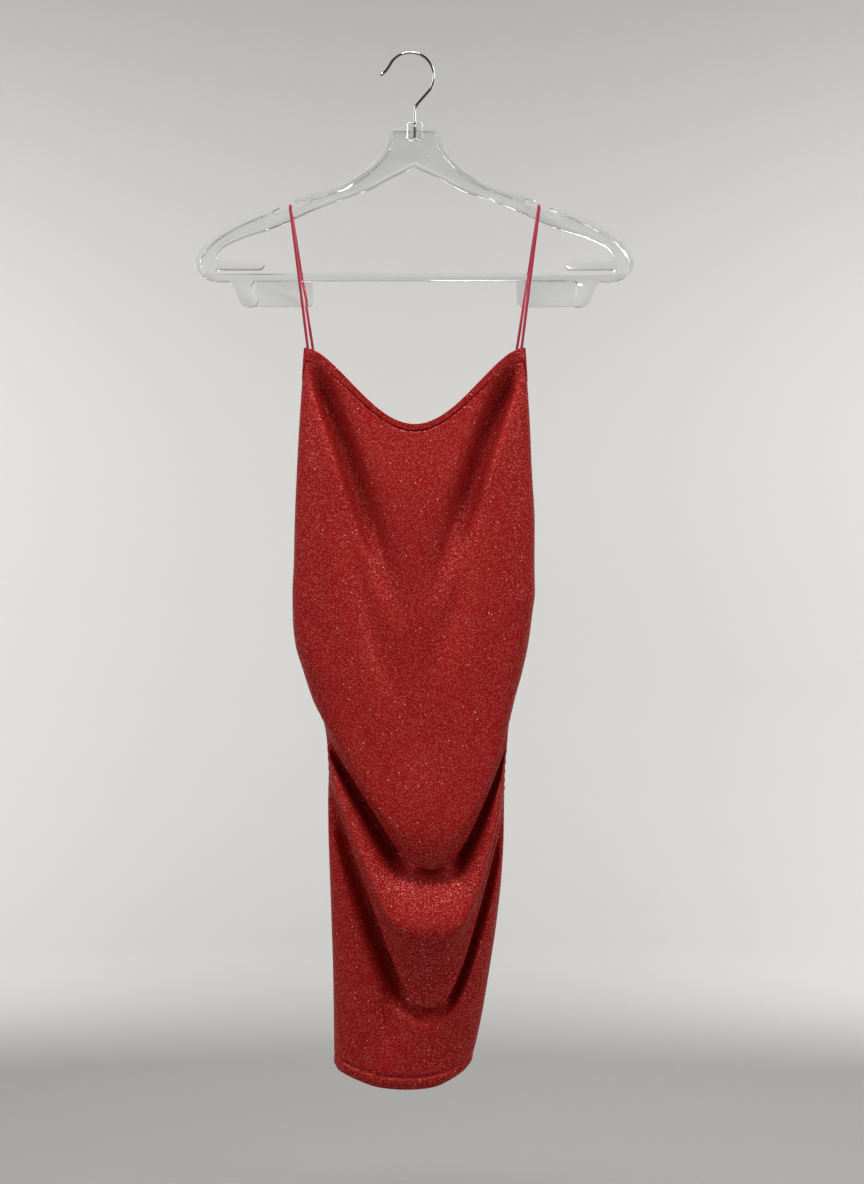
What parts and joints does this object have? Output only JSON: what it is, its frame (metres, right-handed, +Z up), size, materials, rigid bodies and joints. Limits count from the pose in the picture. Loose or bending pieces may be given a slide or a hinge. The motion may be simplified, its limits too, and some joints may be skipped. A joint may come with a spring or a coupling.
{
  "type": "slip dress on a clear hanger",
  "caption": "Sleeveless slip mini dress in glitter knit, its front gathered into hanging swags, held by thin straps on a clear moulded hanger with a wire hook.",
  "frame": {"origin": "the inner crest of the hanger's hook, where it rests on a rail or nail", "axes": "+Z up, +X towards the wearer's left, which is the viewer's right, and the front of the dress faces -Y"},
  "size_m": [0.4292, 0.108, 1.0067],
  "materials": {
    "glitter_knit": "red glitter jersey",
    "strap_satin": "satin cord",
    "clear_plastic": "clear moulded polystyrene",
    "hook_chrome": "bright plated wire"
  },
  "bodies": {
    "root": {"front_panel": "glitter_knit", "back_panel": "glitter_knit", "front_neck_band": "glitter_knit", "back_neck_band": "glitter_knit", "armhole_band_left": "glitter_knit", "armhole_band_right": "glitter_knit", "strap_left": "strap_satin", "strap_right": "strap_satin", "hanger_body": "clear_plastic", "hanger_hook": "hook_chrome"}
  },
  "joints": []
}
